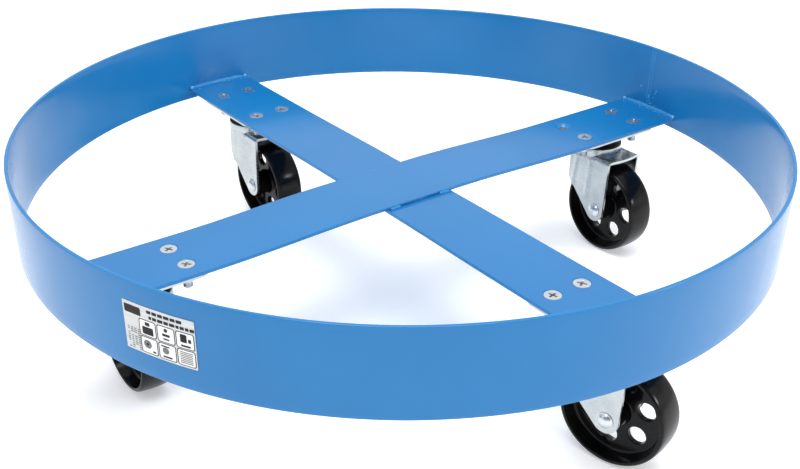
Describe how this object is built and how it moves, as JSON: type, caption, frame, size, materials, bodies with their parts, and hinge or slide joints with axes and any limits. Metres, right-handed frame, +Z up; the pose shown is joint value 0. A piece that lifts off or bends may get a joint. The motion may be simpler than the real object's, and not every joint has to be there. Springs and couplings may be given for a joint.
{
  "type": "drum dolly",
  "caption": "Round steel drum dolly: a rolled ring with crossed flat bars that carry an upright drum, on swivel casters with black plastic wheels.",
  "frame": {"origin": "on the floor, under the centre of the ring", "axes": "+Z up, +X along the upper bar towards caster 1, +Y along the lower bar towards caster 2"},
  "size_m": [0.65, 0.65, 0.184],
  "materials": {
    "blue_paint": "semi-gloss powder coat",
    "zinc_sheet": "bright zinc plate",
    "zinc_fasteners": "bright zinc plate",
    "bare_steel": "ground",
    "black_plastic": "glossy moulded",
    "label_film": "printed silver film"
  },
  "bodies": {
    "chassis": {"ring": "blue_paint", "ring_seam_weld": "blue_paint", "upper_bar": "blue_paint", "lower_bar": "blue_paint", "bar_end_welds": "blue_paint", "crossing_welds": "blue_paint", "label": "label_film", "caster_1_screws": "zinc_fasteners", "caster_1_washers": "zinc_fasteners", "caster_1_nuts": "zinc_fasteners", "caster_1_plate": "zinc_sheet", "caster_1_kingpin": "bare_steel", "caster_1_lower_race": "zinc_sheet", "caster_2_screws": "zinc_fasteners", "caster_2_washers": "zinc_fasteners", "caster_2_nuts": "zinc_fasteners", "caster_2_plate": "zinc_sheet", "caster_2_kingpin": "bare_steel", "caster_2_lower_race": "zinc_sheet", "caster_3_screws": "zinc_fasteners", "caster_3_washers": "zinc_fasteners", "caster_3_nuts": "zinc_fasteners", "caster_3_plate": "zinc_sheet", "caster_3_kingpin": "bare_steel", "caster_3_lower_race": "zinc_sheet", "caster_4_screws": "zinc_fasteners", "caster_4_washers": "zinc_fasteners", "caster_4_nuts": "zinc_fasteners", "caster_4_plate": "zinc_sheet", "caster_4_kingpin": "bare_steel", "caster_4_lower_race": "zinc_sheet"},
    "swivel_1": {"caster_1_fork": "zinc_sheet", "caster_1_upper_balls": "bare_steel", "caster_1_lower_balls": "bare_steel", "caster_1_axle_bolt": "zinc_fasteners", "caster_1_axle_nut": "zinc_fasteners", "caster_1_axle_sleeve": "bare_steel"},
    "roller_1": {"caster_1_wheel": "black_plastic"},
    "swivel_2": {"caster_2_fork": "zinc_sheet", "caster_2_upper_balls": "bare_steel", "caster_2_lower_balls": "bare_steel", "caster_2_axle_bolt": "zinc_fasteners", "caster_2_axle_nut": "zinc_fasteners", "caster_2_axle_sleeve": "bare_steel"},
    "roller_2": {"caster_2_wheel": "black_plastic"},
    "swivel_3": {"caster_3_fork": "zinc_sheet", "caster_3_upper_balls": "bare_steel", "caster_3_lower_balls": "bare_steel", "caster_3_axle_bolt": "zinc_fasteners", "caster_3_axle_nut": "zinc_fasteners", "caster_3_axle_sleeve": "bare_steel"},
    "roller_3": {"caster_3_wheel": "black_plastic"},
    "swivel_4": {"caster_4_fork": "zinc_sheet", "caster_4_upper_balls": "bare_steel", "caster_4_lower_balls": "bare_steel", "caster_4_axle_bolt": "zinc_fasteners", "caster_4_axle_nut": "zinc_fasteners", "caster_4_axle_sleeve": "bare_steel"},
    "roller_4": {"caster_4_wheel": "black_plastic"}
  },
  "joints": [
    {"name": "caster_1_swivel", "type": "hinge", "parent": "chassis", "child": "swivel_1", "pos_m": [0.249, 0, 0.10475], "axis": [0, 0, 1], "continuous": true},
    {"name": "caster_1_roll", "type": "hinge", "parent": "swivel_1", "child": "roller_1", "pos_m": [0.249, -0.026, 0.0445], "axis": [1, 0, 0], "continuous": true},
    {"name": "caster_2_swivel", "type": "hinge", "parent": "chassis", "child": "swivel_2", "pos_m": [0, 0.249, 0.10475], "axis": [0, 0, 1], "continuous": true},
    {"name": "caster_2_roll", "type": "hinge", "parent": "swivel_2", "child": "roller_2", "pos_m": [0, 0.223, 0.0445], "axis": [1, 0, 0], "continuous": true},
    {"name": "caster_3_swivel", "type": "hinge", "parent": "chassis", "child": "swivel_3", "pos_m": [-0.249, 0, 0.10475], "axis": [0, 0, 1], "continuous": true},
    {"name": "caster_3_roll", "type": "hinge", "parent": "swivel_3", "child": "roller_3", "pos_m": [-0.24809, 0.02598, 0.0445], "axis": [-0.9994, 0.0349, 0], "continuous": true},
    {"name": "caster_4_swivel", "type": "hinge", "parent": "chassis", "child": "swivel_4", "pos_m": [0, -0.249, 0.10475], "axis": [0, 0, 1], "continuous": true},
    {"name": "caster_4_roll", "type": "hinge", "parent": "swivel_4", "child": "roller_4", "pos_m": [0.00673, -0.27411, 0.0445], "axis": [0.9659, 0.2588, 0], "continuous": true}
  ]
}
